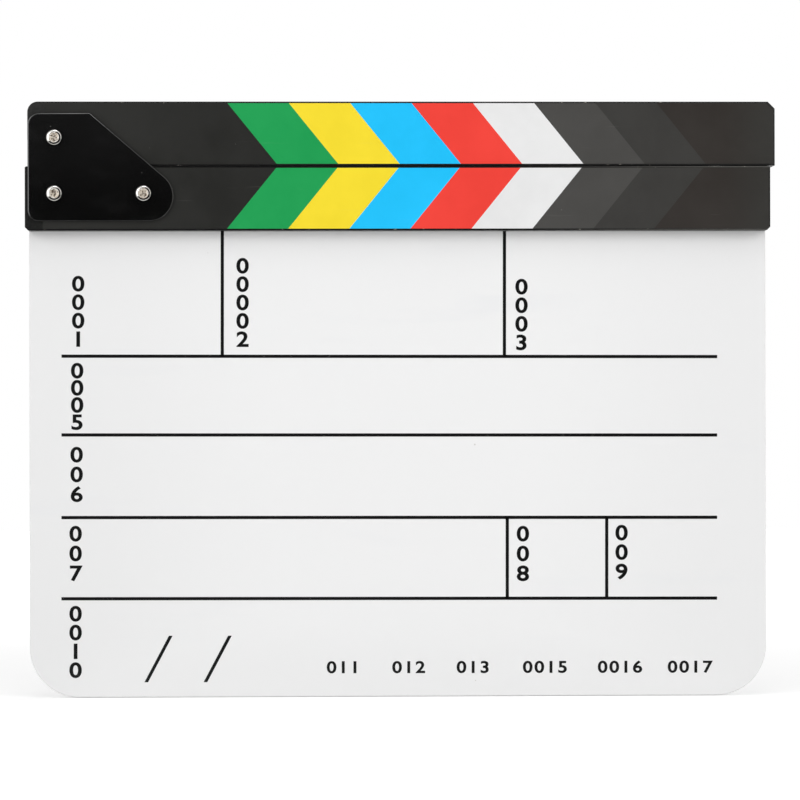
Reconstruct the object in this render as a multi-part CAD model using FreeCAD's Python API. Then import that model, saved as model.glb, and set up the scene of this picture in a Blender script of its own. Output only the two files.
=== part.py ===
import FreeCAD, Part
import math
import os
from FreeCAD import Vector

# Film clapperboard: a white acrylic slate held in a grooved stick, with a second stick that swings
# on a bolted hinge and claps down on the first. All sizes are in millimetres.
# X runs to the right as the slate is read, Y away from the reader and Z up. The origin is the
# middle of the slate's straight bottom edge, at mid thickness.

# Slate board: one acrylic sheet, square at the top, rounded at the two lower corners.
BOARD_WIDTH = 297.0
BOARD_VISIBLE_HEIGHT = 187.7
BOARD_THICKNESS = 3.0
BOARD_CORNER_RADIUS = 20.0
BOARD_EDGE_BEVEL = 0.25
BOARD_ABOVE_BOLTS = 5.0

# Clap sticks: two wooden bars of one height, the lower one grooved along its underside.
STICK_HEIGHT = 25.7
STICK_THICKNESS = 15.0
STICK_EDGE_BEVEL = 0.5
LOWER_STICK_OVERHANG = 1.35
LOWER_STICK_TOP_CUT = 0.45
LOWER_STICK_BOTTOM_CUT = 1.3
UPPER_STICK_OVERHANG = 1.9
UPPER_STICK_TOP_RADIUS = 4.2
UPPER_STICK_NOSE_CUT = 2.8
UPPER_STICK_NOSE_RADIUS = 0.6
SEAM_GAP = 0.3
GROOVE_SIDE_CLEARANCE = 0.1
GROOVE_END_CLEARANCE = 0.3

# Printed films: one adhesive strip on the front face of each stick.
FILM_THICKNESS = 0.2
FILM_EDGE_INSET = 0.68
LOWER_FILM_FOOT_INSET = 0.62
FILM_HINGE_END_INSET = 7.2

# Hinge: a steel plate on each side, bolted twice to the lower stick, with one pivot bolt above.
PIVOT_INSET = 11.92
PIVOT_RISE = 11.1
SWING_CLEARANCE = 0.21
PLATE_BOLT_DROP = 10.98
PLATE_BOLT_SPACING = 35.7
PLATE_THICKNESS = 1.2
PLATE_EDGE_BEVEL = 0.6
PLATE_LEFT_MARGIN = 10.72
PLATE_TOP_MARGIN = 9.85
PLATE_TOP_LENGTH = 24.95
PLATE_BOTTOM_MARGIN = 11.12
PLATE_NOSE_MARGIN = 12.03
PLATE_NOSE_RADIUS = 10.0
PLATE_CORNER_RADIUS = 4.6

# Barrel bolts: a domed hex-socket screw in front, turned into a domed barrel nut behind.
SCREW_DIAMETER = 4.0
SCREW_ENGAGEMENT = 9.0
BARREL_WALL = 0.5
BARREL_BORE_SPARE = 1.0
BARREL_END_CLEARANCE = 0.1
HEAD_OVERHANG = 0.7
HEAD_HEIGHT = 1.9
HEAD_RIM_HEIGHT = 0.5
SOCKET_ACROSS_FLATS = 3.0
SOCKET_DEPTH = 1.5
SOCKET_LAND = 0.35
THREAD_CLEARANCE = 0.05
BARREL_CLEARANCE = 0.05
SCREW_HOLE_CLEARANCE = 0.1

# Pivot washers: thin nylon rings that keep the swinging stick off the plates.
WASHER_DIAMETER = 10.0
WASHER_THICKNESS = 0.4
WASHER_PLAY = 0.1

# Magnets: one disc let into each stick near the free end, face to face across the seam.
MAGNET_DIAMETER = 8.0
MAGNET_THICKNESS = 3.0
MAGNET_INSET = 21.6
MAGNET_RECESS = 0.1
MAGNET_SIDE_CLEARANCE = 0.05

# Levels up the object.
LOWER_STICK_BOTTOM = BOARD_VISIBLE_HEIGHT
LOWER_STICK_TOP = LOWER_STICK_BOTTOM + STICK_HEIGHT
UPPER_STICK_BOTTOM = LOWER_STICK_TOP + SEAM_GAP
UPPER_STICK_TOP = UPPER_STICK_BOTTOM + STICK_HEIGHT
PLATE_BOLT_Z = LOWER_STICK_TOP - PLATE_BOLT_DROP
PIVOT_Z = UPPER_STICK_BOTTOM + PIVOT_RISE
BOARD_TOP = PLATE_BOLT_Z + BOARD_ABOVE_BOLTS

# Places along the object. The heel of the upper stick is nearer to the pivot than its underside is.
LOWER_STICK_RIGHT = BOARD_WIDTH / 2 + LOWER_STICK_OVERHANG
LOWER_STICK_LEFT = -LOWER_STICK_RIGHT
PIVOT_X = LOWER_STICK_LEFT + PIVOT_INSET
NOSE_BOLT_X = PIVOT_X + PLATE_BOLT_SPACING
HEEL_RADIUS = PIVOT_RISE - SWING_CLEARANCE
UPPER_STICK_LEFT = PIVOT_X - HEEL_RADIUS
UPPER_STICK_RIGHT = LOWER_STICK_RIGHT + UPPER_STICK_OVERHANG
MAGNET_X = LOWER_STICK_RIGHT - MAGNET_INSET

# Depths through the object.
STICK_FRONT = -STICK_THICKNESS / 2
STICK_REAR = STICK_THICKNESS / 2
UPPER_STICK_THICKNESS = STICK_THICKNESS - 2 * (WASHER_THICKNESS + WASHER_PLAY)
UPPER_STICK_FRONT = -UPPER_STICK_THICKNESS / 2
FRONT_PLATE_INNER = STICK_FRONT - FILM_THICKNESS
FRONT_PLATE_OUTER = FRONT_PLATE_INNER - PLATE_THICKNESS
REAR_PLATE_INNER = STICK_REAR
REAR_PLATE_OUTER = REAR_PLATE_INNER + PLATE_THICKNESS

# Bolt sizes and the holes that take them.
BARREL_RADIUS = SCREW_DIAMETER / 2 + BARREL_WALL
BARREL_HOLE_RADIUS = BARREL_RADIUS + BARREL_CLEARANCE
SCREW_HOLE_RADIUS = SCREW_DIAMETER / 2 + SCREW_HOLE_CLEARANCE
HEAD_RADIUS = BARREL_RADIUS + HEAD_OVERHANG
SOCKET_CORNER = SOCKET_ACROSS_FLATS / math.sqrt(3)
CROWN_RADIUS = SOCKET_CORNER + SOCKET_LAND

# Bolt places, each as (x, z).
PIVOT = (PIVOT_X, PIVOT_Z)
HEEL_BOLT = (PIVOT_X, PLATE_BOLT_Z)
NOSE_BOLT = (NOSE_BOLT_X, PLATE_BOLT_Z)

ORIGIN = Vector(0, 0, 0)
AXIS_X = Vector(1, 0, 0)
AXIS_Y = Vector(0, 1, 0)
AXIS_Z = Vector(0, 0, 1)
FLAT = 1e-4
CUT_THROUGH = 1.0


def line(start, end):
    return Part.LineSegment(start, end).toShape()


def arc(start, middle, end):
    return Part.Arc(start, middle, end).toShape()


def corner_wire(corners, y):
    """Closed wire at depth y through (x, z, radius) corners, each rounded by its radius."""
    points = [Vector(x, y, z) for x, z, _ in corners]
    starts, ends, edges = [], [], []
    for i, (_, _, radius) in enumerate(corners):
        corner = points[i]
        back = (points[i - 1] - corner).normalize()
        ahead = (points[(i + 1) % len(points)] - corner).normalize()
        half = back.getAngle(ahead) / 2
        reach = radius / math.tan(half)
        starts.append(corner + back * reach)
        ends.append(corner + ahead * reach)
        if radius > 0:
            inward = (back + ahead).normalize()
            middle = corner + inward * (radius / math.sin(half) - radius)
            edges.append(arc(starts[i], middle, ends[i]))
    for i, end in enumerate(ends):
        edges.append(line(end, starts[(i + 1) % len(starts)]))
    return Part.Wire(Part.__sortEdges__(edges))


def slab(wire, thickness):
    """Solid of the wire's face, extruded away from the reader."""
    return Part.Face(wire).extrude(AXIS_Y * thickness)


def edges_at_depth(solid, y):
    """Edges of the solid that lie wholly at depth y."""
    return [
        edge for edge in solid.Edges
        if edge.BoundBox.YLength < FLAT and abs(edge.BoundBox.YMin - y) < FLAT
    ]


def cross_pin(place, radius, y, length):
    """Cylinder along Y at an (x, z) place, from depth y."""
    x, z = place
    return Part.makeCylinder(radius, length, Vector(x, y, z), AXIS_Y)


def with_holes(solid, places, radius):
    """The solid with a round hole right through its thickness at each place."""
    front = solid.BoundBox.YMin - CUT_THROUGH
    length = solid.BoundBox.YLength + 2 * CUT_THROUGH
    for place in places:
        solid = solid.cut(cross_pin(place, radius, front, length))
    return solid


def bevelled_slab(corners, front, thickness, bevel):
    """Slab of the given outline with its front and rear edges bevelled."""
    plain = slab(corner_wire(corners, front), thickness)
    rims = edges_at_depth(plain, front) + edges_at_depth(plain, front + thickness)
    return plain.makeChamfer(bevel, rims)


def slate_board():
    """Acrylic sheet, its top let into the lower stick and crossed there by the two plate bolts."""
    half = BOARD_WIDTH / 2
    corners = [
        (-half, 0, BOARD_CORNER_RADIUS),
        (half, 0, BOARD_CORNER_RADIUS),
        (half, BOARD_TOP, 0),
        (-half, BOARD_TOP, 0),
    ]
    sheet = bevelled_slab(corners, -BOARD_THICKNESS / 2, BOARD_THICKNESS, BOARD_EDGE_BEVEL)
    return with_holes(sheet, [HEEL_BOLT, NOSE_BOLT], BARREL_HOLE_RADIUS)


def slate_groove():
    """Full-length groove for the top of the slate, open along the underside of the lower stick."""
    width = BOARD_THICKNESS + 2 * GROOVE_SIDE_CLEARANCE
    depth = BOARD_TOP + GROOVE_END_CLEARANCE - LOWER_STICK_BOTTOM
    length = LOWER_STICK_RIGHT - LOWER_STICK_LEFT
    return Part.makeBox(length, width, depth, Vector(LOWER_STICK_LEFT, -width / 2, LOWER_STICK_BOTTOM))


def magnet_pocket(face_z, inward):
    """Round pocket for a magnet, sunk into a stick from its mating face."""
    radius = MAGNET_DIAMETER / 2 + MAGNET_SIDE_CLEARANCE
    depth = MAGNET_THICKNESS + MAGNET_RECESS
    return Part.makeCylinder(radius, depth, Vector(MAGNET_X, 0, face_z), inward)


def lower_stick():
    """Fixed stick: cut corners, the slate's groove, two bolt holes and a magnet pocket."""
    left, right = LOWER_STICK_LEFT, LOWER_STICK_RIGHT
    bottom, top = LOWER_STICK_BOTTOM, LOWER_STICK_TOP
    corners = [
        (left + LOWER_STICK_BOTTOM_CUT, bottom, 0),
        (right - LOWER_STICK_BOTTOM_CUT, bottom, 0),
        (right, bottom + LOWER_STICK_BOTTOM_CUT, 0),
        (right, top - LOWER_STICK_TOP_CUT, 0),
        (right - LOWER_STICK_TOP_CUT, top, 0),
        (left + LOWER_STICK_TOP_CUT, top, 0),
        (left, top - LOWER_STICK_TOP_CUT, 0),
        (left, bottom + LOWER_STICK_BOTTOM_CUT, 0),
    ]
    bar = bevelled_slab(corners, STICK_FRONT, STICK_THICKNESS, STICK_EDGE_BEVEL)
    bar = bar.cut(slate_groove()).cut(magnet_pocket(top, -AXIS_Z))
    return with_holes(bar, [HEEL_BOLT, NOSE_BOLT], BARREL_HOLE_RADIUS)


def upper_stick():
    """Swinging stick: its heel is rounded under the pivot so that it clears the lower stick."""
    left, right, cut = UPPER_STICK_LEFT, UPPER_STICK_RIGHT, UPPER_STICK_NOSE_CUT
    bottom, top = UPPER_STICK_BOTTOM, UPPER_STICK_TOP
    corners = [
        (left, bottom, HEEL_RADIUS),
        (right, bottom, 0),
        (right, top - cut, UPPER_STICK_NOSE_RADIUS),
        (right - cut, top, UPPER_STICK_NOSE_RADIUS),
        (left, top, UPPER_STICK_TOP_RADIUS),
    ]
    bar = bevelled_slab(corners, UPPER_STICK_FRONT, UPPER_STICK_THICKNESS, STICK_EDGE_BEVEL)
    bar = bar.cut(magnet_pocket(bottom, AXIS_Z))
    return with_holes(bar, [PIVOT], BARREL_HOLE_RADIUS)


def stick_film(left, right, bottom, top, front, foot_inset):
    """Printed strip on a stick's front face, short of the hinge end and inside the bevelled edges."""
    corners = [
        (left + FILM_HINGE_END_INSET, bottom + foot_inset, 0),
        (right - FILM_EDGE_INSET, bottom + foot_inset, 0),
        (right - FILM_EDGE_INSET, top - FILM_EDGE_INSET, 0),
        (left + FILM_HINGE_END_INSET, top - FILM_EDGE_INSET, 0),
    ]
    return slab(corner_wire(corners, front - FILM_THICKNESS), FILM_THICKNESS)


def trimmed_corner(right, top, cut, inset):
    """Wedge that trims a film along the cut corner of its stick."""
    reach = cut + 2 * inset
    corners = [
        (right - reach, top, 0),
        (right, top - reach, 0),
        (right, top, 0),
    ]
    return slab(corner_wire(corners, -STICK_THICKNESS), STICK_THICKNESS)


def lower_stick_film():
    left, right = LOWER_STICK_LEFT, LOWER_STICK_RIGHT
    bottom, top = LOWER_STICK_BOTTOM, LOWER_STICK_TOP
    strip = stick_film(left, right, bottom, top, STICK_FRONT, LOWER_FILM_FOOT_INSET)
    return with_holes(strip, [HEEL_BOLT, NOSE_BOLT], BARREL_HOLE_RADIUS)


def upper_stick_film():
    left, right = UPPER_STICK_LEFT, UPPER_STICK_RIGHT
    bottom, top = UPPER_STICK_BOTTOM, UPPER_STICK_TOP
    strip = stick_film(left, right, bottom, top, UPPER_STICK_FRONT, FILM_EDGE_INSET)
    strip = strip.cut(trimmed_corner(right, top, UPPER_STICK_NOSE_CUT, FILM_EDGE_INSET))
    return with_holes(strip, [PIVOT], BARREL_HOLE_RADIUS)


def plate_wire(y):
    """Hinge plate outline: a square hinge end, then a slant that runs tangent into a round nose."""
    left = PIVOT_X - PLATE_LEFT_MARGIN
    top = PIVOT_Z + PLATE_TOP_MARGIN
    bottom = PLATE_BOLT_Z - PLATE_BOTTOM_MARGIN
    shoulder = Vector(left + PLATE_TOP_LENGTH, y, top)
    nose_x = NOSE_BOLT_X + PLATE_NOSE_MARGIN - PLATE_NOSE_RADIUS
    nose = Vector(nose_x, y, bottom + PLATE_NOSE_RADIUS)
    nose_bottom = Vector(nose_x, y, bottom)

    # The slant leaves the shoulder at the angle that makes it tangent to the nose circle, and the
    # nose runs from there to straight down, so half the slant's angle points at the arc's middle.
    to_nose = nose - shoulder
    slant = math.atan2(to_nose.z, to_nose.x) + math.asin(PLATE_NOSE_RADIUS / to_nose.Length)
    slant_length = math.sqrt(to_nose.Length ** 2 - PLATE_NOSE_RADIUS ** 2)
    slant_end = shoulder + Vector(math.cos(slant), 0, math.sin(slant)) * slant_length
    nose_middle = nose + Vector(math.cos(slant / 2), 0, math.sin(slant / 2)) * PLATE_NOSE_RADIUS

    radius = PLATE_CORNER_RADIUS
    sagitta = radius * (1 - math.cos(math.pi / 4))
    low_start, low_end = Vector(left + radius, y, bottom), Vector(left, y, bottom + radius)
    low_middle = Vector(left + sagitta, y, bottom + sagitta)
    high_start, high_end = Vector(left, y, top - radius), Vector(left + radius, y, top)
    high_middle = Vector(left + sagitta, y, top - sagitta)
    return Part.Wire([
        line(high_end, shoulder),
        line(shoulder, slant_end),
        arc(slant_end, nose_middle, nose_bottom),
        line(nose_bottom, low_start),
        arc(low_start, low_middle, low_end),
        line(low_end, high_start),
        arc(high_start, high_middle, high_end),
    ])


def hinge_plate(front_y, outer_y, hole_radius):
    """Steel plate with three holes, its outer rim bevelled."""
    plate = slab(plate_wire(front_y), PLATE_THICKNESS)
    plate = plate.makeChamfer(PLATE_EDGE_BEVEL, edges_at_depth(plate, outer_y))
    return with_holes(plate, [PIVOT, HEEL_BOLT, NOSE_BOLT], hole_radius)


def socket_head():
    """Domed head with a hex socket, seated on Z = 0 and facing +Z. The dome is part of a sphere."""
    centre_z = (
        (CROWN_RADIUS ** 2 + HEAD_HEIGHT ** 2 - HEAD_RADIUS ** 2 - HEAD_RIM_HEIGHT ** 2)
        / (2 * (HEAD_HEIGHT - HEAD_RIM_HEIGHT))
    )
    rim_angle = math.atan2(HEAD_RIM_HEIGHT - centre_z, HEAD_RADIUS)
    crown_angle = math.atan2(HEAD_HEIGHT - centre_z, CROWN_RADIUS)
    dome_radius = math.hypot(HEAD_RADIUS, HEAD_RIM_HEIGHT - centre_z)
    middle_angle = (rim_angle + crown_angle) / 2
    dome_middle = Vector(
        dome_radius * math.cos(middle_angle), 0, centre_z + dome_radius * math.sin(middle_angle)
    )
    base_rim = Vector(HEAD_RADIUS, 0, 0)
    rim_top = Vector(HEAD_RADIUS, 0, HEAD_RIM_HEIGHT)
    crown_edge = Vector(CROWN_RADIUS, 0, HEAD_HEIGHT)
    crown = Vector(0, 0, HEAD_HEIGHT)
    profile = Part.Wire([
        line(ORIGIN, base_rim),
        line(base_rim, rim_top),
        arc(rim_top, dome_middle, crown_edge),
        line(crown_edge, crown),
        line(crown, ORIGIN),
    ])
    head = Part.Face(profile).revolve(ORIGIN, AXIS_Z, 360)
    floor_z = HEAD_HEIGHT - SOCKET_DEPTH
    turns = [math.radians(60 * i) for i in range(7)]
    hexagon = Part.makePolygon([
        Vector(SOCKET_CORNER * math.cos(turn), SOCKET_CORNER * math.sin(turn), floor_z) for turn in turns
    ])
    return head.cut(Part.Face(hexagon).extrude(AXIS_Z * (SOCKET_DEPTH + CUT_THROUGH)))


def seated(solid, place, seat_y, quarter_turn):
    """The solid turned a quarter about X, so that it faces out of the slate, and set on its seat."""
    x, z = place
    solid.rotate(ORIGIN, AXIS_X, quarter_turn)
    solid.translate(Vector(x, seat_y, z))
    return solid


def socket_screw(place):
    """Screw seated on the front plate; its shank reaches through the plate into the barrel nut."""
    length = PLATE_THICKNESS + BARREL_END_CLEARANCE + SCREW_ENGAGEMENT
    shank = Part.makeCylinder(SCREW_DIAMETER / 2, length, ORIGIN, -AXIS_Z)
    return seated(socket_head().fuse(shank), place, FRONT_PLATE_OUTER, 90)


def barrel_nut(place):
    """Barrel nut seated on the rear plate; its smooth sleeve reaches to the front plate."""
    length = REAR_PLATE_OUTER - FRONT_PLATE_INNER - BARREL_END_CLEARANCE
    sleeve = Part.makeCylinder(BARREL_RADIUS, length, ORIGIN, -AXIS_Z)
    bore_radius = SCREW_DIAMETER / 2 + THREAD_CLEARANCE
    bore_depth = SCREW_ENGAGEMENT + BARREL_BORE_SPARE
    bore = Part.makeCylinder(bore_radius, bore_depth, -AXIS_Z * length, AXIS_Z)
    return seated(socket_head().fuse(sleeve).cut(bore), place, REAR_PLATE_OUTER, -90)


def pivot_washer(front_y):
    """Nylon ring round the pivot's sleeve, lying against a plate."""
    ring = cross_pin(PIVOT, WASHER_DIAMETER / 2, front_y, WASHER_THICKNESS)
    return with_holes(ring, [PIVOT], BARREL_HOLE_RADIUS)


def magnet(face_z, inward):
    """Disc magnet glued into its pocket, just below the stick's mating face."""
    face = Vector(MAGNET_X, 0, face_z) + inward * MAGNET_RECESS
    return Part.makeCylinder(MAGNET_DIAMETER / 2, MAGNET_THICKNESS, face, inward)


pieces = {
    "slate_board": slate_board(),
    "lower_stick": lower_stick(),
    "lower_stick_film": lower_stick_film(),
    "lower_magnet": magnet(LOWER_STICK_TOP, -AXIS_Z),
    "upper_stick": upper_stick(),
    "upper_stick_film": upper_stick_film(),
    "upper_magnet": magnet(UPPER_STICK_BOTTOM, AXIS_Z),
    "front_hinge_plate": hinge_plate(FRONT_PLATE_OUTER, FRONT_PLATE_OUTER, SCREW_HOLE_RADIUS),
    "rear_hinge_plate": hinge_plate(REAR_PLATE_INNER, REAR_PLATE_OUTER, BARREL_HOLE_RADIUS),
    "front_pivot_washer": pivot_washer(FRONT_PLATE_INNER),
    "rear_pivot_washer": pivot_washer(REAR_PLATE_INNER - WASHER_THICKNESS),
}
for bolt, place in {"pivot": PIVOT, "heel": HEEL_BOLT, "nose": NOSE_BOLT}.items():
    pieces[f"{bolt}_screw"] = socket_screw(place)
    pieces[f"{bolt}_barrel_nut"] = barrel_nut(place)

os.makedirs("parts", exist_ok=True)
for name, piece in pieces.items():
    piece.exportStep(f"parts/{name}.step")
    print(f"{name}: {len(piece.Solids)} solid, valid {piece.isValid()}, {piece.Volume:.1f} mm3")
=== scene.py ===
import math

import bmesh
import bpy
from mathutils import Matrix, Vector


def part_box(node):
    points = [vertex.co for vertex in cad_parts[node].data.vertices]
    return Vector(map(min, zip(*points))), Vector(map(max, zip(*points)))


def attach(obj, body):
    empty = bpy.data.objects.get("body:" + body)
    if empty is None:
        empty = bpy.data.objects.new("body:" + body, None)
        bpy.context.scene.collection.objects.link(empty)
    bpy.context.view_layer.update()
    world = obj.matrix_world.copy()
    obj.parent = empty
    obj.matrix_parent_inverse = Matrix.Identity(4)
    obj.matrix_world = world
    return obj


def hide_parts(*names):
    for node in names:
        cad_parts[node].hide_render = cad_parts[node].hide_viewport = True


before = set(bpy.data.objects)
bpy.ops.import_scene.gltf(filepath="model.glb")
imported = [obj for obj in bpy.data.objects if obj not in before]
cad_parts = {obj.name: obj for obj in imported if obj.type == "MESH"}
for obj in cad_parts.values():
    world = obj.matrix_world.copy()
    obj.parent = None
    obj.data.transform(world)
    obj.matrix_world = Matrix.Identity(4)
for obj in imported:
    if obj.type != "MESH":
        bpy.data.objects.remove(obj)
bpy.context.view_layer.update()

# Slate board
# One sheet of satin white acrylic that takes dry-wipe marker. It is sawn to size, rounded at the
# lower corners, rubbed smooth along its edges, and glued into the groove of the lower stick.
MM = 0.001
SIDE_MARGIN_FROM = 40 * MM
SIDE_MARGIN_TO = 145 * MM
FOOT_MARGIN = 35 * MM
GROOVE_SHADOW_REACH = 0.45 * MM
CLOUD_ROUGHNESS = 0.55


def srgb(red, green, blue):
    """A colour as it is seen, 0 to 255, as the linear colour that shaders use."""
    linear = [((part / 255 + 0.055) / 1.055) ** 2.4 for part in (red, green, blue)]
    return (*linear, 1)


class Shade:
    """A socket of a node tree. Sums and products of sockets add their Math nodes to that tree."""

    def __init__(self, tree, socket=None):
        self.tree = tree
        self.socket = socket

    @staticmethod
    def pick(sockets, name):
        """The socket with this identifier or name."""
        return next(socket for socket in sockets if name in (socket.identifier, socket.name))

    def node(self, kind, settings=None, inputs=None, output=None):
        """Add a node, its settings first, then values or links, and give one of its outputs."""
        made = self.tree.nodes.new(kind)
        for name, value in (settings or {}).items():
            setattr(made, name, value)
        for name, value in (inputs or {}).items():
            socket = self.pick(made.inputs, name)
            if isinstance(value, Shade):
                self.tree.links.new(value.socket, socket)
            else:
                socket.default_value = value
        return Shade(self.tree, self.pick(made.outputs, output) if output else None)

    def other(self, output):
        """Another output of the same node."""
        return Shade(self.tree, self.pick(self.socket.node.outputs, output))

    def math(self, operation, first, second=0.0):
        """A Math node on one or two values."""
        values = {"Value": first, "Value_001": second}
        return self.node("ShaderNodeMath", {"operation": operation}, values, "Value")

    def __add__(self, value):
        return self.math("ADD", self, value)

    def __radd__(self, value):
        return self.math("ADD", value, self)

    def __sub__(self, value):
        return self.math("SUBTRACT", self, value)

    def __rsub__(self, value):
        return self.math("SUBTRACT", value, self)

    def __mul__(self, value):
        return self.math("MULTIPLY", self, value)

    def __lt__(self, value):
        return self.math("LESS_THAN", self, value)

    def __abs__(self):
        return self.math("ABSOLUTE", self)


def blank_material(name):
    """A material with an empty node tree, and a Shade that adds nodes to it."""
    material = bpy.data.materials.new(name)
    material.use_nodes = True
    material.node_tree.nodes.clear()
    return material, Shade(material.node_tree)


def surface(paint, **inputs):
    """Close a material with one Principled surface; an underscore in a name stands for a space."""
    named = {name.replace("_", " "): value for name, value in inputs.items()}
    body = paint.node("ShaderNodeBsdfPrincipled", inputs=named, output="BSDF")
    paint.node("ShaderNodeOutputMaterial", inputs={"Surface": body})


def position(paint):
    """Where a point of the surface lies, in Object coordinates."""
    return paint.node("ShaderNodeTexCoord", output="Object")


def along(vector, axis):
    """One part of a vector, X, Y or Z."""
    return vector.node("ShaderNodeSeparateXYZ", inputs={"Vector": vector}, output=axis)


def clouds(place, per_metre, detail):
    """Soft noise with so many clouds to the metre along X, Y and Z."""
    scaled = {"Vector": place, "Vector_001": per_metre}
    stretched = place.node("ShaderNodeVectorMath", {"operation": "MULTIPLY"}, scaled, "Vector")
    noise = {"Vector": stretched, "Scale": 1, "Detail": detail, "Roughness": CLOUD_ROUGHNESS}
    return place.node("ShaderNodeTexNoise", inputs=noise, output="Fac")


def specks(place, per_metre, share, reach):
    """Small round dots: one cell in so many holds a dot, which reaches this part of a cell."""
    cells = place.node(
        "ShaderNodeTexVoronoi", inputs={"Vector": place, "Scale": per_metre}, output="Distance"
    )
    chance = cells.node("ShaderNodeSeparateColor", inputs={"Color": cells.other("Color")}, output="Red")
    return (cells < reach) * (chance < share)


def step_up(value, low, high):
    """0 below low, 1 above high, smooth between."""
    limits = {"Value": value, "From Min": low, "From Max": high}
    return value.node("ShaderNodeMapRange", {"interpolation_type": "SMOOTHSTEP"}, limits, "Result")


def blended(factor, first, second):
    """The first colour where the factor is 0, the second where it is 1."""
    colours = {"Factor_Float": factor, "A_Color": first, "B_Color": second}
    return factor.node("ShaderNodeMix", {"data_type": "RGBA"}, colours, "Result_Color")


def bumped(height, strength, depth):
    """Fine relief, as a normal."""
    relief = {"Height": height, "Strength": strength, "Distance": depth}
    return height.node("ShaderNodeBump", inputs=relief, output="Normal")


def dress(node, material):
    """Give a CAD piece its finish."""
    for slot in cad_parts[node].material_slots:
        slot.material = material


def white_acrylic(groove_height):
    """White sheet with faint wiped-off marker, hairlines, dust and a rubbed edge. Its side and foot
    margins are a shade greyer, as painted shade, and a dark line where it enters the groove is painted
    shadow."""
    material, sheet = blank_material("white_acrylic")
    place = position(sheet)
    edge = 1 - abs(along(place.other("Normal"), "Y"))
    by_side = step_up(abs(along(place, "X")), SIDE_MARGIN_FROM, SIDE_MARGIN_TO)
    by_foot = 1 - step_up(along(place, "Z"), 0, FOOT_MARGIN)
    # The side and foot margins are made greyer, as painted shade.
    painted_light_margin = by_side.math("MAXIMUM", by_side, by_foot)
    painted_groove_shadow = step_up(along(place, "Z"), groove_height - GROOVE_SHADOW_REACH, groove_height)
    wiped = step_up(clouds(place, (10, 10, 55), 5), 0.55, 0.8)
    hairlines = step_up(clouds(place, (14, 900, 900), 2), 0.62, 0.7)
    dust = specks(place, 130, 0.05, 0.045)
    clean = srgb(243, 243, 243)
    greyed = srgb(238, 238, 238)
    ghost = srgb(231, 232, 235)
    dust_and_shade = srgb(196, 193, 188)
    sawn = srgb(222, 222, 219)
    groove_shadow_tone = srgb(96, 96, 95)
    colour = blended(painted_light_margin, clean, greyed)
    colour = blended(wiped * 0.35, colour, ghost)
    colour = blended(dust * 0.6, colour, dust_and_shade)
    colour = blended(edge * 0.8, colour, sawn)
    # A dark line along the top of the sheet, just under the stick, is painted shadow.
    colour = blended(painted_groove_shadow * 0.6, colour, groove_shadow_tone)
    rough = 0.3 + wiped * 0.1 + hairlines * 0.08 + edge * 0.2
    relief = bumped(clouds(place, (260, 260, 260), 2), 0.03, 0.05 * MM)
    surface(sheet, Base_Color=colour, Roughness=rough, Specular_IOR_Level=0.35, Normal=relief)
    return material


stick_low, stick_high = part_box("lower_stick")
dress("slate_board", white_acrylic(stick_low.z))

# Rules
# Black lines that part the slate into fields, and two strokes in the lowest field. They are screen
# printed in one pass that lies very slightly askew on the sheet.
INK_THICKNESS = 0.03 * MM
PRINT_SKEW = -0.0022
RULE_WIDTH = 1.3 * MM
RULE_LEFT = -135.9 * MM
RULE_RIGHT = 128.6 * MM
RULE_HEIGHTS = (137.04 * MM, 105.35 * MM, 72.1 * MM, 39.44 * MM)
TOP_ROW_DIVIDERS = (-71.27 * MM, 42.5 * MM)
LOW_ROW_DIVIDERS = (43.68 * MM, 83.88 * MM)
STROKE_WIDTH = 1.3 * MM
STROKE_RUN = 9.85 * MM
STROKE_RISE = 18.7 * MM
STROKE_FEET = ((-101.8 * MM, 5.8 * MM), (-78.0 * MM, 5.8 * MM))
INK_CORNER = 0.12 * MM

# The print is laid out flat, in its own X and Y, and then stood up against the sheet's front.
board_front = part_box("slate_board")[0].y
stand_up = Matrix.Rotation(math.radians(90), 4, "X") @ Matrix.Rotation(PRINT_SKEW, 4, "Z")
print_place = Matrix.Translation((0, board_front - INK_THICKNESS / 2, 0)) @ stand_up


def ink_bar(print_mesh, start, end, width):
    """A straight stroke of ink from start to end on the flat print."""
    run = Vector(end) - Vector(start)
    middle = (Vector(start) + Vector(end)) / 2
    size = Matrix.Diagonal((run.length, width, INK_THICKNESS, 1))
    turn = Matrix.Rotation(math.atan2(run.y, run.x), 4, "Z")
    bmesh.ops.create_cube(print_mesh, size=1, matrix=Matrix.Translation((*middle, 0)) @ turn @ size)


def ink_slash(print_mesh, across, height):
    """A slanted stroke of ink that rises from this foot, cut level at both ends."""
    level_width = STROKE_WIDTH * math.hypot(STROKE_RUN, STROKE_RISE) / STROKE_RISE
    middle = Matrix.Translation((across + STROKE_RUN / 2, height + STROKE_RISE / 2, 0))
    slant = Matrix.Shear("XZ", 4, (STROKE_RUN / STROKE_RISE, 0))
    size = Matrix.Diagonal((level_width, STROKE_RISE, INK_THICKNESS, 1))
    bmesh.ops.create_cube(print_mesh, size=1, matrix=middle @ slant @ size)


def new_piece(name, shape, materials, body):
    """Make an object of a finished bmesh, which moves with a body."""
    mesh = bpy.data.meshes.new(name)
    shape.to_mesh(mesh)
    shape.free()
    for material in materials:
        mesh.materials.append(material)
    piece = bpy.data.objects.new(name, mesh)
    bpy.context.collection.objects.link(piece)
    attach(piece, body)
    return piece


def screen_ink():
    """Dense black ink, a little thin in places and lightly rubbed by wiping."""
    material, ink = blank_material("screen_ink")
    place = position(ink)
    thin = step_up(clouds(place, (420, 420, 420), 4), 0.58, 0.8)
    rubbed_and_lit = step_up(clouds(place, (900, 900, 900), 2), 0.7, 0.76)
    colour = blended(thin * 0.5, srgb(17, 17, 17), srgb(34, 34, 33))
    colour = blended(rubbed_and_lit * 0.3, colour, srgb(120, 120, 118))
    rough = 0.38 + thin * 0.15
    surface(ink, Base_Color=colour, Roughness=rough, Specular_IOR_Level=0.2)
    return material


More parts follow.
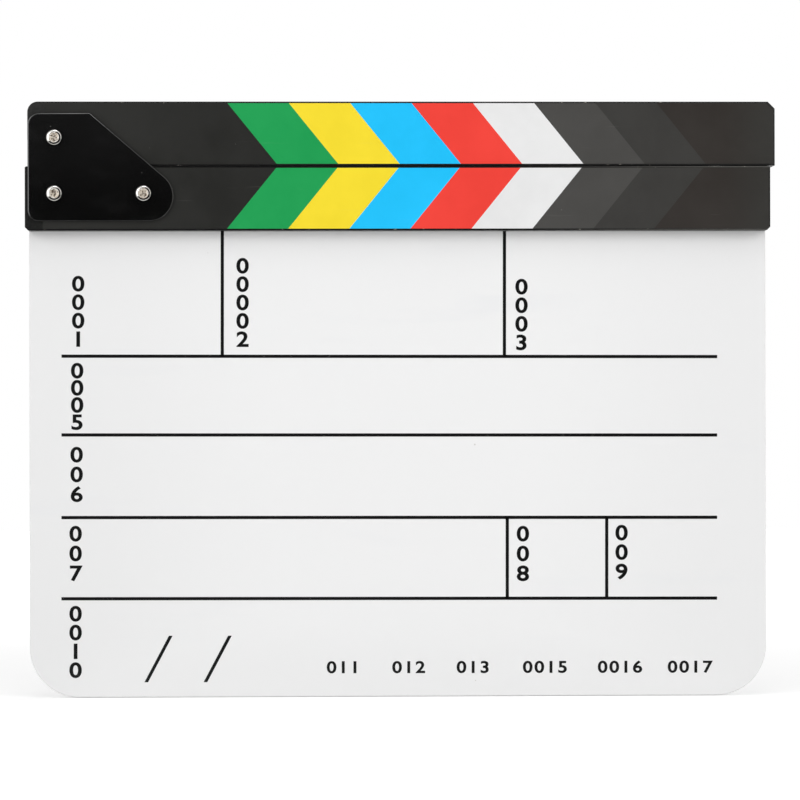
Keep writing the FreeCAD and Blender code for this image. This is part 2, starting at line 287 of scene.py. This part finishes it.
def slate_rules(ink):
    """All rules and strokes as bars of ink, their corners just rounded."""
    bars = bmesh.new()
    for height in RULE_HEIGHTS:
        ink_bar(bars, (RULE_LEFT, height), (RULE_RIGHT, height), RULE_WIDTH)
    for across in TOP_ROW_DIVIDERS:
        ink_bar(bars, (across, RULE_HEIGHTS[0]), (across, stick_low.z), RULE_WIDTH)
    for across in LOW_ROW_DIVIDERS:
        ink_bar(bars, (across, RULE_HEIGHTS[3]), (across, RULE_HEIGHTS[2]), RULE_WIDTH)
    for across, height in STROKE_FEET:
        ink_slash(bars, across, height)
    upright = []
    for edge in bars.edges:
        start, end = edge.verts
        if abs(start.co.z - end.co.z) > INK_THICKNESS / 2:
            upright.append(edge)
    bmesh.ops.bevel(
        bars, geom=upright, offset=INK_CORNER, affect="EDGES", segments=2, profile=0.5, material=-1
    )
    bars.transform(print_place)
    return new_piece("slate_rules", bars, [ink], "slate")


black_ink = screen_ink()
slate_rules(black_ink)

# Field numbers
# Plain numbers printed in the same ink, one for each field: upright columns of figures at the left
# of the fields, and a row along the foot of the slate.
FIGURE_BOLDNESS = 0.025
FIGURE_HALF_DEPTH = 0.5
FIGURE_CAP = 0.732
FIGURE_WIDENING = 1.2
COLUMN_CAP = 6.2 * MM
ROW_CAP = 4.85 * MM
ROW_PITCH = 4.7 * MM
ROW_FOOT = 9.3 * MM
ROW_MIDDLES = (-22.5 * MM, 3.9 * MM, 29.9 * MM, 59.0 * MM, 89.3 * MM, 117.6 * MM)
ROW_COUNTS = (3, 3, 3, 4, 4, 4)
MERGE_DISTANCE = 0.001 * MM

# No number has a four, because the eye of that figure closes up in so bold a face.
COLUMN_NUMBERS = (1, 2, 3, 5, 6, 7, 8, 9, 10)
ROW_NUMBERS = (11, 12, 13, 15, 16, 17)

# Each column: its middle, its foot, its top, and how many figures share that height.
COLUMNS = (
    (-129.2 * MM, 140.8 * MM, 169.3 * MM, 4),
    (-63.1 * MM, 140.8 * MM, 176.6 * MM, 5),
    (49.4 * MM, 139.6 * MM, 168.3 * MM, 4),
    (-129.6 * MM, 107.4 * MM, 134.3 * MM, 4),
    (-129.8 * MM, 78.4 * MM, 100.5 * MM, 3),
    (-130.2 * MM, 46.6 * MM, 68.7 * MM, 3),
    (50.0 * MM, 46.4 * MM, 68.6 * MM, 3),
    (89.9 * MM, 47.1 * MM, 69.0 * MM, 3),
    (-130.2 * MM, 7.6 * MM, 36.5 * MM, 4),
)


def figure_mesh(figure):
    """One bold figure of the built-in face, as a mesh about FIGURE_CAP high and 1 deep."""
    curve = bpy.data.curves.new("figure", "FONT")
    curve.body = figure
    curve.align_x = "CENTER"
    curve.offset = FIGURE_BOLDNESS
    curve.extrude = FIGURE_HALF_DEPTH
    text = bpy.data.objects.new("figure", curve)
    bpy.context.collection.objects.link(text)
    mesh = bpy.data.meshes.new_from_object(text)
    bpy.data.objects.remove(text)
    bpy.data.curves.remove(curve)
    return mesh


def ink_figure(print_mesh, figure, middle, foot, cap):
    """Set one figure on the flat print, its foot at this height."""
    glyph = figure_mesh(figure)
    size = cap / FIGURE_CAP
    foot_line = foot + FIGURE_BOLDNESS * size
    place = Matrix.Translation((middle, foot_line, 0))
    glyph.transform(place @ Matrix.Diagonal((size * FIGURE_WIDENING, size, INK_THICKNESS, 1)))
    print_mesh.from_mesh(glyph)
    bpy.data.meshes.remove(glyph)


def slate_numbers(ink):
    """All numbers as one mesh: first the columns, read downwards, and then the row."""
    figures = bmesh.new()
    for number, (middle, foot, top, count) in zip(COLUMN_NUMBERS, COLUMNS):
        step = (top - foot - COLUMN_CAP) / (count - 1)
        for place, figure in enumerate(f"{number:0{count}d}"):
            ink_figure(figures, figure, middle, top - COLUMN_CAP - place * step, COLUMN_CAP)
    for number, middle, count in zip(ROW_NUMBERS, ROW_MIDDLES, ROW_COUNTS):
        first = middle - ROW_PITCH * (count - 1) / 2
        for place, figure in enumerate(f"{number:0{count}d}"):
            ink_figure(figures, figure, first + place * ROW_PITCH, ROW_FOOT, ROW_CAP)
    bmesh.ops.remove_doubles(figures, verts=figures.verts[:], dist=MERGE_DISTANCE)
    bmesh.ops.recalc_face_normals(figures, faces=figures.faces[:])
    figures.transform(print_place)
    return new_piece("slate_numbers", figures, [ink], "slate")


slate_numbers(black_ink)

# Sticks
# Two hardwood bars, sawn and planed, with their edges just broken, and sprayed matt black. The paint
# has rubbed through in specks along the long edges, where the bars clap and are handled.
WORN_REACH = 1.1 * MM
BEVEL_HIGHLIGHT_FROM = 40 * MM
BEVEL_HIGHLIGHT_TO = 150 * MM


def painted_stick(node, deep, thin, top_edge, foot_edge):
    """Matt black over fine grain that runs along the bar, with worn specks on the long edges. Its
    bevels
    have painted tones: painted shade, which turns to a painted highlight towards the free end."""
    material, paint = blank_material("matt_black_" + node)
    low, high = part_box(node)
    half = (high - low) / 2
    middle = (high + low) / 2
    place = position(paint)
    grain = clouds(place, (22, 800, 800), 4)
    mottle = clouds(place, (1300, 1300, 1300), 2)
    rise = abs(along(place, "Z") - middle.z)
    depth = abs(along(place, "Y") - middle.y)
    by_edge = step_up(rise, half.z - WORN_REACH, half.z) * step_up(depth, half.y - WORN_REACH, half.y)
    worn = step_up(clouds(place, (420, 700, 700), 3), 0.68, 0.72) * by_edge
    colour = blended(step_up(mottle, 0.3, 0.7), deep, thin)
    facing = abs(along(place.other("Normal"), "Y"))
    rising = along(place.other("Normal"), "Z")
    # Towards the free end a bevel's tone may lighten, as a painted highlight.
    free_end = step_up(along(place, "X"), BEVEL_HIGHLIGHT_FROM, BEVEL_HIGHLIGHT_TO)

    # A bevel faces as much to the front or back as it does up or down.
    for slope, (hinge_bevel_tone, rubbed_and_lit) in ((rising, top_edge), (0 - rising, foot_edge)):
        bevelled = step_up(facing.math("MINIMUM", facing, slope), 0.4, 0.6)
        colour = blended(bevelled, colour, blended(free_end, hinge_bevel_tone, rubbed_and_lit))
    colour = blended(worn * 0.8, colour, srgb(182, 176, 166))
    rough = 0.36 + grain * 0.15 + worn * 0.3
    relief = bumped(grain * 0.7 + mottle * 0.3, 0.35, 0.12 * MM)
    surface(paint, Base_Color=colour, Roughness=rough, Specular_IOR_Level=0.1, Normal=relief)
    return material


# Each paint: its deep and its thin tone, and the two tones of its upper and of its lower bevels.
# Bevel tones are painted light: the darkest is painted shade, the lower stick's lightest a painted
# highlight.
# The upper stick's paint is set lighter than the lower's, also as painted light.
bevel_shade = srgb(7, 7, 7)
dust_and_shade = srgb(44, 44, 43)
shaded_to_lit_bevel = (bevel_shade, srgb(82, 81, 78))
lower_paint = (srgb(26, 26, 25), srgb(38, 38, 37), shaded_to_lit_bevel, shaded_to_lit_bevel)
upper_paint = (srgb(42, 42, 41), srgb(53, 53, 52), (bevel_shade, bevel_shade), (dust_and_shade, dust_and_shade))
dress("lower_stick", painted_stick("lower_stick", *lower_paint))
dress("upper_stick", painted_stick("upper_stick", *upper_paint))

# Striped prints
# A strip of matt printed vinyl stuck to the front of each stick, cut just inside the stick's edges.
# Its bands slant back from the seam, so that the two strips make arrows when the sticks are shut.
BAND_LEAN = 0.81
TRIMMED_CORNER = 2.8 * MM
FREE_END_LIGHT_FROM = 128 * MM
FREE_END_LIGHT_TO = 150 * MM
HINGE_LIGHT_FADES = -118 * MM
HINGE_LIGHT_ENDS = -84 * MM

# Where the first band ends at the seam, and how wide each band is.
LOWER_BANDS = (-48.39 * MM, 24.545 * MM)
UPPER_BANDS = (-48.2 * MM, 24.66 * MM)

BAND_INKS = (
    ("black_print", srgb(38, 38, 36)),
    ("green_print", srgb(28, 156, 81)),
    ("yellow_print", srgb(243, 218, 48)),
    ("blue_print", srgb(29, 191, 247)),
    ("red_print", srgb(237, 66, 56)),
    ("white_print", srgb(227, 227, 227)),
    ("light_grey_print", srgb(72, 71, 69)),
    ("dark_grey_print", srgb(58, 57, 55)),
    ("brown_black_print", srgb(51, 47, 44)),
)


def printed_vinyl(name, ink):
    """Matt film in one ink, with an even fine tooth, small scuffs and dust. It is made lighter near
    the hinge and at the free end, as painted light."""
    material, film = blank_material(name)
    place = position(film)
    tooth = clouds(place, (2200, 2200, 2200), 2)
    uneven = clouds(place, (45, 45, 45), 4)
    scuffs = step_up(clouds(place, (30, 700, 500), 3), 0.66, 0.74)
    dust = specks(place, 260, 0.05, 0.06)
    painted_light_margin = step_up(along(place, "X"), FREE_END_LIGHT_FROM, FREE_END_LIGHT_TO)
    by_hinge = 1 - step_up(along(place, "X"), HINGE_LIGHT_FADES, HINGE_LIGHT_ENDS)
    lighter = tuple(min(1, part * 1.06 + 0.004) for part in ink[:3]) + (1,)
    colour = blended(step_up(uneven, 0.3, 0.7), ink, lighter)
    # Painted light: the film lightens towards the free end and near the hinge.
    colour = blended(painted_light_margin * 0.25, colour, srgb(58, 64, 62))
    colour = blended(by_hinge * 0.42, colour, srgb(54, 54, 52))
    colour = blended(scuffs * 0.02 + dust * 0.12, colour, srgb(200, 198, 194))
    rough = 0.5 + uneven * 0.1 - scuffs * 0.08
    relief = bumped(tooth, 0.12, 0.03 * MM)
    surface(film, Base_Color=colour, Roughness=rough, Specular_IOR_Level=0.12, Normal=relief)
    return material


def stick_print(name, node, body, first_band, pitch, lean, trimmed):
    """The strip on one stick: a flat face cut along the bands, then given the film's thickness."""
    low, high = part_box(node)
    size = high - low
    middle = (low + high) / 2
    strip = bmesh.new()
    bmesh.ops.create_grid(strip, x_segments=1, y_segments=1, size=0.5)
    stretch = Matrix.Diagonal((size.x, 1, size.z, 1)) @ Matrix.Rotation(math.radians(90), 4, "X")
    strip.transform(Matrix.Translation((middle.x, high.y, middle.z)) @ stretch)
    for band in range(len(BAND_INKS) - 1):
        bmesh.ops.bisect_plane(
            strip,
            geom=strip.verts[:] + strip.edges[:] + strip.faces[:],
            plane_co=(first_band + band * pitch, 0, seam_height),
            plane_no=(1, 0, lean),
        )
    if trimmed:
        bmesh.ops.bisect_plane(
            strip,
            geom=strip.verts[:] + strip.edges[:] + strip.faces[:],
            plane_co=(high.x - TRIMMED_CORNER, 0, high.z),
            plane_no=(1, 0, 1),
            clear_outer=True,
        )
    grown = bmesh.ops.extrude_face_region(strip, geom=strip.faces[:], use_keep_orig=True)["geom"]
    front = [part for part in grown if isinstance(part, bmesh.types.BMVert)]
    bmesh.ops.translate(strip, verts=front, vec=(0, -size.y, 0))
    bmesh.ops.recalc_face_normals(strip, faces=strip.faces[:])
    for face in strip.faces:
        centre = face.calc_center_median()
        at_seam = centre.x + lean * (centre.z - seam_height)
        band = math.ceil((at_seam - first_band) / pitch)
        face.material_index = min(max(band, 0), len(BAND_INKS) - 1)
    piece = new_piece(name, strip, band_films, body)
    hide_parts(node)
    return piece


band_films = [printed_vinyl(name, ink) for name, ink in BAND_INKS]
seam_height = (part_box("upper_stick")[0].z + stick_high.z) / 2
stick_print("lower_stick_print", "lower_stick_film", "slate", *LOWER_BANDS, -BAND_LEAN, False)
stick_print("upper_stick_print", "upper_stick_film", "clapper", *UPPER_BANDS, BAND_LEAN, True)

# Magnets
# A nickel-plated disc glued into a pocket in each of the two meeting faces, near the free end, so
# that the sticks stay shut. Clapping has scratched the plating.


def plated_magnet():
    """Nickel plating with fine scratches and a few stains."""
    material, plating = blank_material("plated_magnet")
    place = position(plating)
    scratches = step_up(clouds(place, (3000, 240, 240), 3), 0.58, 0.66)
    stain = step_up(clouds(place, (500, 500, 500), 3), 0.5, 0.75)
    colour = blended(stain * 0.6, srgb(205, 203, 198), srgb(150, 141, 128))
    rough = 0.22 + scratches * 0.2 + stain * 0.15
    surface(plating, Base_Color=colour, Metallic=1.0, Roughness=rough)
    return material


nickel_disc = plated_magnet()
for magnet in ("lower_magnet", "upper_magnet"):
    dress(magnet, nickel_disc)

# Pivot washers
# Thin rings punched from natural nylon sheet and slipped over the sleeve of the pivot bolt. One on
# each side keeps the moving stick off the plates.


def natural_nylon():
    """Milky nylon, rubbed grey in places."""
    material, nylon = blank_material("natural_nylon")
    place = position(nylon)
    milky = clouds(place, (420, 420, 420), 3)
    rubbed_and_lit = step_up(clouds(place, (1600, 300, 1600), 2), 0.55, 0.7)
    colour = blended(milky, srgb(228, 224, 212), srgb(212, 206, 190))
    colour = blended(rubbed_and_lit * 0.4, colour, srgb(150, 147, 140))
    surface(nylon, Base_Color=colour, Roughness=0.42 + rubbed_and_lit * 0.2, Specular_IOR_Level=0.4)
    return material


ring_nylon = natural_nylon()
for washer in ("front_pivot_washer", "rear_pivot_washer"):
    dress(washer, ring_nylon)

# Hinge plates
# Two steel plates cut to one outline, with a square hinge end and a slant that runs into a round
# nose. Their outer rims are rounded over, and they are coated in gloss black and bolted on.
PLATE_TOP_LENGTH = 24.95 * MM
PLATE_NOSE_RADIUS = 10.0 * MM
PLATE_CORNER_RADIUS = 4.6 * MM
PLATE_RIM_RADIUS = 0.55 * MM
PLATE_RIM_STEPS = 3
NOSE_STEPS = 28
CORNER_STEPS = 12
PLATE_SHEEN_FROM = 193 * MM
PLATE_SHEEN_TO = 233 * MM
SHARP_ANGLE = math.radians(38)


def gloss_black():
    """Deep black coating with a faint orange peel, finger smears and settled dust. It is painted
    lighter towards the top as painted sheen, and a painted highlight runs along the slant and the nose."""
    material, coat = blank_material("gloss_black")
    place = position(coat)
    peel = clouds(place, (420, 420, 420), 2)
    smears = step_up(clouds(place, (70, 70, 110), 5), 0.45, 0.75)
    dust = specks(place, 330, 0.05, 0.07)
    painted_sheen_top = step_up(along(place, "Z"), PLATE_SHEEN_FROM, PLATE_SHEEN_TO)
    painted_rim_highlight = step_up(along(place.other("Normal"), "X"), 0.15, 0.45)
    # The coat is lighter towards the top, as painted sheen.
    colour = blended(painted_sheen_top, srgb(7, 7, 7), srgb(18, 18, 18))
    colour = blended(smears * 0.2, colour, srgb(17, 17, 17))
    # Rims that face right are lightened, as a painted highlight along the slant and the nose.
    colour = blended(painted_rim_highlight * 0.6, colour, srgb(74, 74, 72))
    colour = blended(dust * 0.35, colour, srgb(120, 118, 114))
    rough = 0.13 + smears * 0.1 + dust * 0.2
    relief = bumped(peel, 0.06, 0.05 * MM)
    surface(coat, Base_Color=colour, Roughness=rough, Specular_IOR_Level=0.8, Normal=relief)
    return material


def turned_arc(outline, start, centre, angle, steps):
    """Carry the outline on from a vertex round a centre, and give the vertex where the arc ends."""
    ends = bmesh.ops.spin(
        outline, geom=[start], cent=(*centre, 0), axis=(0, 0, 1), angle=angle, steps=steps
    )["geom_last"]
    return next(part for part in ends if isinstance(part, bmesh.types.BMVert))


def smooth_but_sharp(piece):
    """Smooth shading that stops at real corners."""
    piece.data.shade_smooth()
    piece.data.set_sharp_from_angle(angle=SHARP_ANGLE)


def hinge_plate(name, node, facing):
    """One plate, drawn flat as seen from the front, thickened, rounded at its rim and stood up."""
    low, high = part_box(node)
    radius = PLATE_CORNER_RADIUS
    shoulder = Vector((low.x + PLATE_TOP_LENGTH, high.z))
    nose = Vector((high.x - PLATE_NOSE_RADIUS, low.z + PLATE_NOSE_RADIUS))

    # The slant leaves the shoulder at the angle that makes it tangent to the nose.
    to_nose = nose - shoulder
    slant = math.atan2(to_nose.y, to_nose.x) + math.asin(PLATE_NOSE_RADIUS / to_nose.length)
    slant_end = nose + PLATE_NOSE_RADIUS * Vector((-math.sin(slant), math.cos(slant)))

    plate = bmesh.new()
    top_left = plate.verts.new((low.x, high.z - radius, 0))
    top_start = turned_arc(
        plate, top_left, (low.x + radius, high.z - radius), math.radians(-90), CORNER_STEPS
    )
    top_end = plate.verts.new((*shoulder, 0))
    nose_start = plate.verts.new((*slant_end, 0))
    nose_sweep = math.radians(-90) - (math.radians(90) + slant)
    nose_end = turned_arc(plate, nose_start, nose, nose_sweep, NOSE_STEPS)
    bottom_left = plate.verts.new((low.x + radius, low.z, 0))
    left_low = turned_arc(
        plate, bottom_left, (low.x + radius, low.z + radius), math.radians(-90), CORNER_STEPS
    )
    straight_runs = (
        (top_start, top_end),
        (top_end, nose_start),
        (nose_end, bottom_left),
        (left_low, top_left),
    )
    for run in straight_runs:
        plate.edges.new(run)
    bmesh.ops.remove_doubles(plate, verts=plate.verts[:], dist=MERGE_DISTANCE)
    bmesh.ops.edgeloop_fill(plate, edges=plate.edges[:])
    grown = bmesh.ops.extrude_face_region(plate, geom=plate.faces[:], use_keep_orig=True)["geom"]
    outer = [part for part in grown if isinstance(part, bmesh.types.BMVert)]
    bmesh.ops.translate(plate, verts=outer, vec=(0, 0, -facing * (high.y - low.y)))
    rim = [edge for edge in plate.edges if edge.verts[0] in outer and edge.verts[1] in outer]
    bmesh.ops.bevel(
        plate,
        geom=rim,
        offset=PLATE_RIM_RADIUS,
        affect="EDGES",
        segments=PLATE_RIM_STEPS,
        profile=0.5,
        material=-1,
    )

    # A narrow border round the outer face keeps its shading flat.
    front = max(plate.faces, key=lambda face: -facing * face.calc_center_median().z)
    bmesh.ops.inset_region(plate, faces=[front], thickness=PLATE_RIM_RADIUS / 4)
    bmesh.ops.recalc_face_normals(plate, faces=plate.faces[:])
    inner_face = high.y if facing < 0 else low.y
    plate.transform(Matrix.Translation((0, inner_face, 0)) @ Matrix.Rotation(math.radians(90), 4, "X"))
    piece = new_piece(name, plate, [plate_coat], "slate")
    smooth_but_sharp(piece)
    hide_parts(node)
    return piece


plate_coat = gloss_black()
hinge_plate("front_plate", "front_hinge_plate", -1)
hinge_plate("rear_plate", "rear_hinge_plate", 1)

# Barrel bolts
# Nickel-plated steel bolts through plates and sticks: a screw from the front turns into the sleeve
# of a barrel nut from the back. Both heads are low domes with a hexagon socket.
RING_STEPS = 48
DOME_STEPS = 8
CROWN_RADIUS = 2.1 * MM
CROWN_ROUNDING = 0.05 * MM
CROWN_SLOPE = math.radians(8)
RIM_SLOPE = math.radians(76)
SOCKET_SIDES = 6
SOCKET_FLATS = 3.0 * MM
SOCKET_LEAD = 0.05 * MM
SOCKET_DEPTH = 1.5 * MM
SOCKET_POINT = 0.35 * MM
SCREW_STEM_RADIUS = 2.0 * MM
SLEEVE_RADIUS = 2.5 * MM


def bright_nickel():
    """Polished plating with fine turning marks and a few dull spots."""
    material, plating = blank_material("bright_nickel")
    place = position(plating)
    turned = clouds(place, (900, 5200, 900), 2)
    dull = step_up(clouds(place, (800, 800, 800), 3), 0.52, 0.7)
    colour = blended(dull * 0.5, srgb(222, 220, 216), srgb(196, 192, 185))
    rough = 0.05 + turned * 0.05 + dull * 0.07
    surface(plating, Base_Color=colour, Metallic=1.0, Roughness=rough)
    return material


def reflection_painted_steel(name, clean, stained, bare_metal):
    """Matt, warm steel with real stains. Its near-white clean tone is a painted reflection."""
    material, steel = blank_material(name)
    place = position(steel)
    stain = step_up(clouds(place, (1100, 1100, 1100), 3), 0.47, 0.58)
    colour = blended(stain, clean, stained)
    surface(steel, Base_Color=colour, Metallic=bare_metal, Roughness=0.38 + stain * 0.2)
    return material


def bolt_half(name, node, facing, stem_radius, seat):
    """One half of a bolt, spun about its axis, with its head towards -Y or +Y as facing says."""
    low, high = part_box(node)
    tip = low.y if facing < 0 else high.y
    end = high.y if facing < 0 else low.y
    radius = (high.x - low.x) / 2
    height = abs(tip - seat)
    stem = abs(end - seat)

    # The dome is an arc that starts steep at the rim and is nearly level where it meets the crown.
    dome_radius = (radius - CROWN_RADIUS) / (math.sin(RIM_SLOPE) - math.sin(CROWN_SLOPE))
    dome_foot = height - dome_radius * math.cos(CROWN_SLOPE)
    outline = [(0, -stem), (stem_radius, -stem), (stem_radius, 0), (radius, 0)]
    for step in range(DOME_STEPS + 1):
        slope = RIM_SLOPE + (CROWN_SLOPE - RIM_SLOPE) * step / DOME_STEPS
        across = radius - dome_radius * (math.sin(RIM_SLOPE) - math.sin(slope))
        outline.append((across, dome_foot + dome_radius * math.cos(slope)))

    half = bmesh.new()
    corners = [half.verts.new((across, 0, up)) for across, up in outline]
    for first, second in zip(corners, corners[1:]):
        half.edges.new((first, second))
    bmesh.ops.spin(
        half,
        geom=half.verts[:] + half.edges[:],
        cent=(0, 0, 0),
        axis=(0, 0, 1),
        angle=math.tau,
        steps=RING_STEPS,
        use_merge=True,
    )
    bmesh.ops.remove_doubles(half, verts=half.verts[:], dist=MERGE_DISTANCE)
    crown = [edge for edge in half.edges if edge.is_boundary]

    socket_radius = SOCKET_FLATS / 2 / math.cos(math.radians(180 / SOCKET_SIDES))
    hexagon = bmesh.ops.create_circle(half, segments=SOCKET_SIDES, radius=socket_radius)["verts"]
    bmesh.ops.translate(half, verts=hexagon, vec=(0, 0, height - SOCKET_LEAD))
    flats = list({edge for vert in hexagon for edge in vert.link_edges})
    split = bmesh.ops.subdivide_edges(half, edges=flats, cuts=RING_STEPS // SOCKET_SIDES - 1)["geom"]
    mouth = list({part for part in split if isinstance(part, bmesh.types.BMEdge)})
    bmesh.ops.bridge_loops(half, edges=crown + mouth)
    sunk = bmesh.ops.extrude_edge_only(half, edges=mouth)["geom"]
    floor_edges = [part for part in sunk if isinstance(part, bmesh.types.BMEdge)]
    floor_verts = [part for part in sunk if isinstance(part, bmesh.types.BMVert)]
    bmesh.ops.translate(half, verts=floor_verts, vec=(0, 0, SOCKET_LEAD - SOCKET_DEPTH))
    point = bmesh.ops.extrude_edge_only(half, edges=floor_edges)["geom"]
    point_verts = [part for part in point if isinstance(part, bmesh.types.BMVert)]
    bmesh.ops.pointmerge(
        half, verts=point_verts, merge_co=(0, 0, height - SOCKET_DEPTH - SOCKET_POINT)
    )
    crown_edges = [
        edge
        for edge in half.edges
        if all(abs(vert.co.z - height) < MERGE_DISTANCE for vert in edge.verts)
    ]
    bmesh.ops.bevel(
        half,
        geom=crown_edges,
        offset=CROWN_ROUNDING,
        affect="EDGES",
        segments=2,
        profile=0.5,
        material=-1,
    )
    bmesh.ops.recalc_face_normals(half, faces=half.faces[:])

    # Inside the dome, the socket and the crown round its mouth have their own finishes.
    for face in half.faces:
        centre = face.calc_center_median()
        if centre.xy.length < CROWN_RADIUS - CROWN_ROUNDING and centre.z > 0:
            face.material_index = 1 if centre.z < height - SOCKET_LEAD else 2
    turn = Matrix.Rotation(math.radians(90 * -facing), 4, "X")
    axis_x = (low.x + high.x) / 2
    axis_z = (low.z + high.z) / 2
    half.transform(Matrix.Translation((axis_x, seat, axis_z)) @ turn)
    piece = new_piece(name, half, [bolt_plating, bolt_socket, bolt_crown], "slate")
    smooth_but_sharp(piece)
    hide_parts(node)
    return piece


bolt_plating = bright_nickel()
# The near-white tones of the socket and the crown are painted reflection, while the brown stains are
# real.
bolt_socket = reflection_painted_steel("socket_painted_reflection", srgb(255, 247, 235), srgb(104, 87, 70), 0.05)
bolt_crown = reflection_painted_steel("crown_painted_reflection", srgb(252, 248, 240), srgb(205, 190, 172), 0.35)
front_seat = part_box("front_hinge_plate")[0].y
rear_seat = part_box("rear_hinge_plate")[1].y
for bolt in ("pivot", "heel", "nose"):
    bolt_half(bolt + "_bolt_head", bolt + "_screw", -1, SCREW_STEM_RADIUS, front_seat)
    bolt_half(bolt + "_bolt_barrel", bolt + "_barrel_nut", 1, SLEEVE_RADIUS, rear_seat)

# Studio
# A pale floor in a white room. Soft boxes stand at the left and the right, one hangs overhead and a
# faint one is above the camera. Dark flags in front and below let gloss black show black.
FLOOR_SIZE = 4
FLOOR_DROP = 0.2 * MM
FLOOR_TONE = (0.8, 0.8, 0.8, 1)
NEAR_GLOW = 0.34
FAR_GLOW = 0.7
NEAR_REACH = 0.25
FAR_REACH = 0.9
ROOM_LIGHT = 0.4
FLAG_GLOW = 0.02
LIGHT_AIM = Vector((0, 0, 0.12))
UPRIGHT = Matrix.Rotation(math.radians(-90), 4, "X")
FLAT = Matrix.Identity(4)

# Each flag: its name, middle, turn, width and height. Only shiny things show the flags.
FLAGS = (
    ("front_flag", (3.2, -3.2, 0.15), UPRIGHT, 8.6, 2.5),
    ("upper_flag", (3.35, -3.2, 3.5), UPRIGHT, 8.3, 4.2),
    ("table_flag", (0.5, -1.135, 0.001), FLAT, 2.1, 2.13),
)

# Each soft box: its name, place, width and height, power, and whether shiny things show it.
SOFT_BOXES = (
    ("left_box", Vector((-1.25, -0.85, 0.62)), (1.2, 1.2), 8.4, True),
    ("right_box", Vector((1.3, -1.0, 0.62)), (0.9, 1.2), 10.0, False),
    ("top_box", Vector((0.15, -0.05, 1.7)), (2.6, 0.6), 10.0, True),
    ("front_box", Vector((0, -2.3, 1.3)), (2.0, 1.0), 5.0, False),
)


def seen_plainly(tree):
    """1 for rays from the camera, a mirror or glass, which show the white of the room itself."""
    path = tree.node("ShaderNodeLightPath", output="Is Camera Ray")
    rays = path + path.other("Is Glossy Ray") + path.other("Is Transmission Ray")
    return rays.math("MINIMUM", rays, 1)


def stage_sheet(name, width, height, place, material):
    """A flat sheet of the studio, which isn't part of the object."""
    sheet = bmesh.new()
    spread = Matrix.Diagonal((width, height, 1, 1))
    bmesh.ops.create_grid(sheet, x_segments=1, y_segments=1, size=0.5, matrix=place @ spread)
    mesh = bpy.data.meshes.new(name)
    sheet.to_mesh(mesh)
    sheet.free()
    mesh.materials.append(material)
    piece = bpy.data.objects.new(name, mesh)
    bpy.context.collection.objects.link(piece)
    return piece


def pale_floor():
    """A pale floor that shows white, less so near the object, where it keeps the object's shadow."""
    material, paint = blank_material("pale_floor")
    matt = paint.node("ShaderNodeBsdfDiffuse", inputs={"Color": FLOOR_TONE}, output="BSDF")
    middle = {"Vector": position(paint)}
    distance = paint.node("ShaderNodeVectorMath", {"operation": "LENGTH"}, middle, "Value")
    strength = NEAR_GLOW + step_up(distance, NEAR_REACH, FAR_REACH) * (FAR_GLOW - NEAR_GLOW)
    shown = {"Strength": seen_plainly(paint) * strength}
    glow = paint.node("ShaderNodeEmission", inputs=shown, output="Emission")
    both = paint.node(
        "ShaderNodeAddShader", inputs={"Shader": matt, "Shader_001": glow}, output="Shader"
    )
    paint.node("ShaderNodeOutputMaterial", inputs={"Surface": both})
    return material


def dark_cloth():
    """Nearly black, whatever light falls on it."""
    material, cloth = blank_material("dark_cloth")
    glow = cloth.node("ShaderNodeEmission", inputs={"Strength": FLAG_GLOW}, output="Emission")
    cloth.node("ShaderNodeOutputMaterial", inputs={"Surface": glow})
    return material


stage_sheet("floor", FLOOR_SIZE, FLOOR_SIZE, Matrix.Translation((0, 0, -FLOOR_DROP)), pale_floor())
flag_cloth = dark_cloth()
for name, middle, turn, width, height in FLAGS:
    flag = stage_sheet(name, width, height, Matrix.Translation(middle) @ turn, flag_cloth)
    flag.visible_camera = False
    flag.visible_diffuse = False
    flag.visible_shadow = False

room = bpy.data.worlds.new("room")
room.use_nodes = True
room.node_tree.nodes.clear()
air = Shade(room.node_tree)
brightness = ROOM_LIGHT + seen_plainly(air) * (1 - ROOM_LIGHT)
white_air = {"Color": (1, 1, 1, 1), "Strength": brightness}
sky = air.node("ShaderNodeBackground", inputs=white_air, output="Background")
air.node("ShaderNodeOutputWorld", inputs={"Surface": sky})
bpy.context.scene.world = room

for name, place, size, power, shown in SOFT_BOXES:
    lamp = bpy.data.lights.new(name, "AREA")
    lamp.shape = "RECTANGLE"
    lamp.size, lamp.size_y = size
    lamp.energy = power
    box = bpy.data.objects.new(name, lamp)
    box.location = place
    box.rotation_euler = (LIGHT_AIM - place).to_track_quat("-Z", "Y").to_euler()
    box.visible_glossy = shown
    bpy.context.collection.objects.link(box)

# Camera
# A long lens nearly square to the slate, a little to the left of its middle. It is a touch turned
# and rolled.
CAMERA_PLACE = (-41.6 * MM, -1562.5 * MM, 119.45 * MM)
CAMERA_TURN = math.radians(-1.549)
CAMERA_ROLL = math.radians(-0.109)
CAMERA_LENS = 174.25
SENSOR_WIDTH = 36

view = bpy.data.cameras.new("camera")
view.sensor_width = SENSOR_WIDTH
view.lens = CAMERA_LENS
camera = bpy.data.objects.new("camera", view)
level = Matrix.Rotation(CAMERA_TURN, 4, "Z") @ Matrix.Rotation(math.radians(90), 4, "X")
camera.matrix_world = Matrix.Translation(CAMERA_PLACE) @ level @ Matrix.Rotation(CAMERA_ROLL, 4, "Z")
bpy.context.collection.objects.link(camera)
bpy.context.scene.camera = camera
bpy.context.scene.view_settings.view_transform = "Standard"
